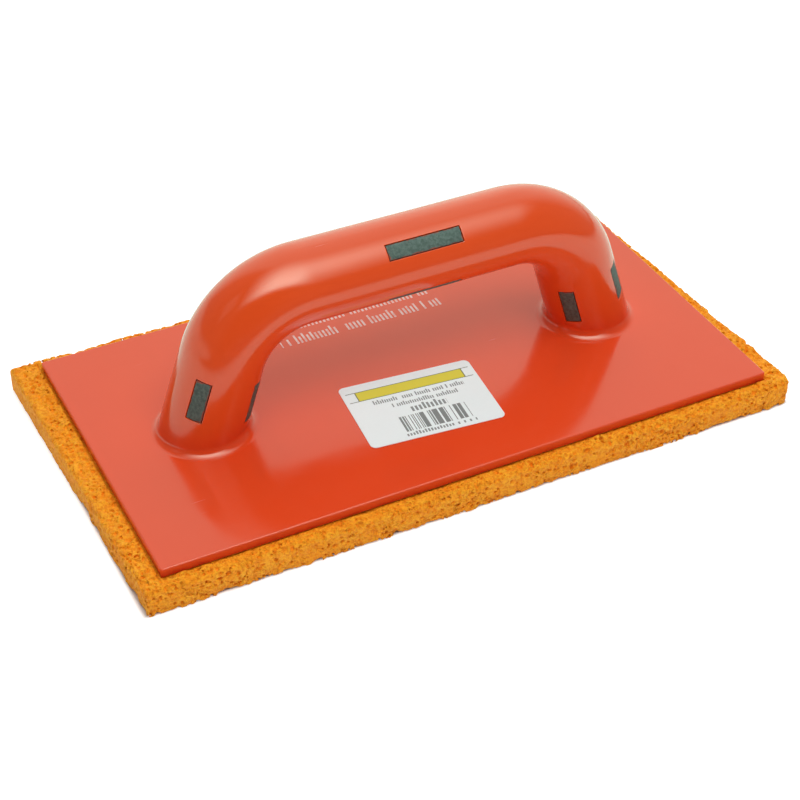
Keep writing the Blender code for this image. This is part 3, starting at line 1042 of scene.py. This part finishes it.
def pale_floor():
    """White card that glows a little, so that it stays bright right up to the sponge.

    Reflections see black beyond its front and right edges, which darkens the handle's lower half.
    """
    graph = Graph("pale_floor")
    tone = graph.mix(graph.noise(graph.place(), 300, 2), *FLOOR_TONES)
    rays = graph.node("ShaderNodeLightPath").outputs
    reflected = Value(graph, rays["Is Glossy Ray"])
    seen = Value(graph, rays["Is Camera Ray"]).largest(reflected)
    right, away, _ = graph.local((0, 0, 0), CAMERA_AZIMUTH)
    front_edge = (away + (right * -0.3).largest(0)).ramp(-270, -140, 1, 0)
    beyond = front_edge.largest(right.ramp(450, 1000))
    tone = graph.mix(reflected, tone, SHINE_CARD)
    tone = graph.mix(reflected * beyond, tone, (0, 0, 0))
    x, y, _ = graph.local((0, 0, 0), 0)
    past = (x.size() - sponge_high.x / MM).largest(y.size() - sponge_high.y / MM)
    seen_glow = seen * past.ramp(-1.5, 0.5) * FLOOR_SEEN_GLOW
    lit_glow = (seen * -1 + 1) * past.ramp(0, 8) * FLOOR_LIT_GLOW
    glow = seen_glow + lit_glow
    return graph.finish(Base_Color=tone, Roughness=0.9, Emission_Color=tone, Emission_Strength=glow)


def floor():
    """A wide square under the tool."""
    mesh = bpy.data.meshes.new("floor")
    corners = [(x * FLOOR_HALF, y * FLOOR_HALF, 0) for x, y in ((-1, -1), (1, -1), (1, 1), (-1, 1))]
    mesh.from_pydata(corners, [], [(0, 1, 2, 3)])
    mesh.materials.append(pale_floor())
    made = bpy.data.objects.new("floor", mesh)
    made.location.z = sponge_low.z - FLOOR_DROP
    bpy.context.scene.collection.objects.link(made)


def room():
    """White to the camera. It lights the tool from a backdrop, walls and a pale table all round.

    Reflections see more: a brighter middle of the backdrop, the key light, a window at the left, darkness
    behind the camera, and a brighter table that rises at the far left.
    """
    graph = Graph("room", bpy.data.worlds, "Background")
    direction = Value(graph, graph.node("ShaderNodeTexCoord").outputs["Generated"])
    right, away, up = graph.turned(direction, (0, 0, 0), CAMERA_AZIMUTH)
    bearing = graph.math("ARCTAN2", right, away)
    backdrop = bearing.ramp(math.radians(-65), math.radians(-36)) * bearing.ramp(0.4, 1.35, 1.3, 0.0)
    bright_spot = bearing.size().ramp(0, math.radians(13), 0.22, 0) * up.ramp(0.57, 0.64, 1, 0)
    walls = bearing.size().ramp(math.radians(40), math.radians(120), 0.3, 0.15)
    behind = bearing.size().ramp(math.radians(135), math.radians(165), 1.0, 0.1)
    lowered = right.ramp(-0.9, -0.3, 0, 0.42)
    table = (up + lowered).ramp(0.10, 0.26, 1.1, 0)
    key = right.ramp(-0.55, 0.08) * right.ramp(0.30, 0.76, 1, 0)
    key = key * away.ramp(-0.68, -0.50) * away.ramp(-0.45, 0.45, KEY_SHINE, 1.0)
    window = right.ramp(-0.85, -0.72) * right.ramp(-0.62, -0.5, 1, 0)
    window = window * away.ramp(-0.5, -0.38) * away.ramp(-0.15, -0.02, 0.6, 0)
    shine = (backdrop * (bright_spot + 1)).largest(walls * behind)
    shine = shine.largest(table).largest(key).largest(window)
    fill = backdrop.largest(walls).largest(up.ramp(0.10, 0.26, 0.4, 0))
    rays = graph.node("ShaderNodeLightPath").outputs
    reflected = Value(graph, rays["Is Glossy Ray"])
    strength = fill + (shine - fill) * reflected
    strength = strength.largest(Value(graph, rays["Is Camera Ray"]))
    colour = graph.mix(reflected, (1, 1, 1), SHINE_TINT)
    bpy.context.scene.world = graph.finish(Color=colour, Strength=strength)


def key_light():
    """A soft box aimed at the tool and left out of reflections, because the room has its reflection."""
    light = bpy.data.lights.new("key_box", "AREA")
    light.shape = "RECTANGLE"
    light.size, light.size_y = KEY_SIZE
    light.energy = KEY_POWER
    made = bpy.data.objects.new("key_box", light)
    made.visible_glossy = False
    bpy.context.scene.collection.objects.link(made)
    out = Vector(KEY_PLACE).normalized()
    across = (Vector((1, 0, 0)) - out * out.x).normalized()
    turn = Matrix((across, out.cross(across), out)).transposed().to_4x4()
    made.matrix_world = Matrix.Rotation(CAMERA_AZIMUTH, 4, "Z") @ Matrix.Translation(KEY_PLACE) @ turn


def camera():
    """The view from the front left, looking down on the tool."""
    flat = math.cos(CAMERA_ELEVATION)
    back_x, back_y = math.sin(CAMERA_AZIMUTH) * flat, -math.cos(CAMERA_AZIMUTH) * flat
    back = Vector((back_x, back_y, math.sin(CAMERA_ELEVATION)))
    right = Vector((0, 0, 1)).cross(back).normalized()
    up = back.cross(right)
    turned_right = right * math.cos(CAMERA_ROLL) + up * math.sin(CAMERA_ROLL)
    turned_up = up * math.cos(CAMERA_ROLL) - right * math.sin(CAMERA_ROLL)
    data = bpy.data.cameras.new("camera")
    data.sensor_width = CAMERA_SENSOR
    data.lens = CAMERA_LENS
    data.clip_start = 0.05
    made = bpy.data.objects.new("camera", data)
    bpy.context.scene.collection.objects.link(made)
    place = back * CAMERA_DISTANCE - turned_right * CAMERA_SHIFT[0] - turned_up * CAMERA_SHIFT[1]
    turn = Matrix((turned_right, turned_up, back)).transposed().to_4x4()
    made.matrix_world = Matrix.Translation(place) @ turn
    bpy.context.scene.camera = made


def repaint(node, material):
    """Gives a carried-over CAD node its finished material."""
    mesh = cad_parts[node].data
    mesh.materials.clear()
    mesh.materials.append(material)


# ---------------------------------------------------------------- the tool

body_moulding(red_plastic())
spacer_blocks(spacer_rubber())
paper_label(label_paper())
sponge(sponge_foam())
repaint("handle_core", core_plastic())
repaint("adhesive_film", adhesive())
floor()
room()
key_light()
camera()
bpy.context.scene.view_settings.view_transform = "Standard"
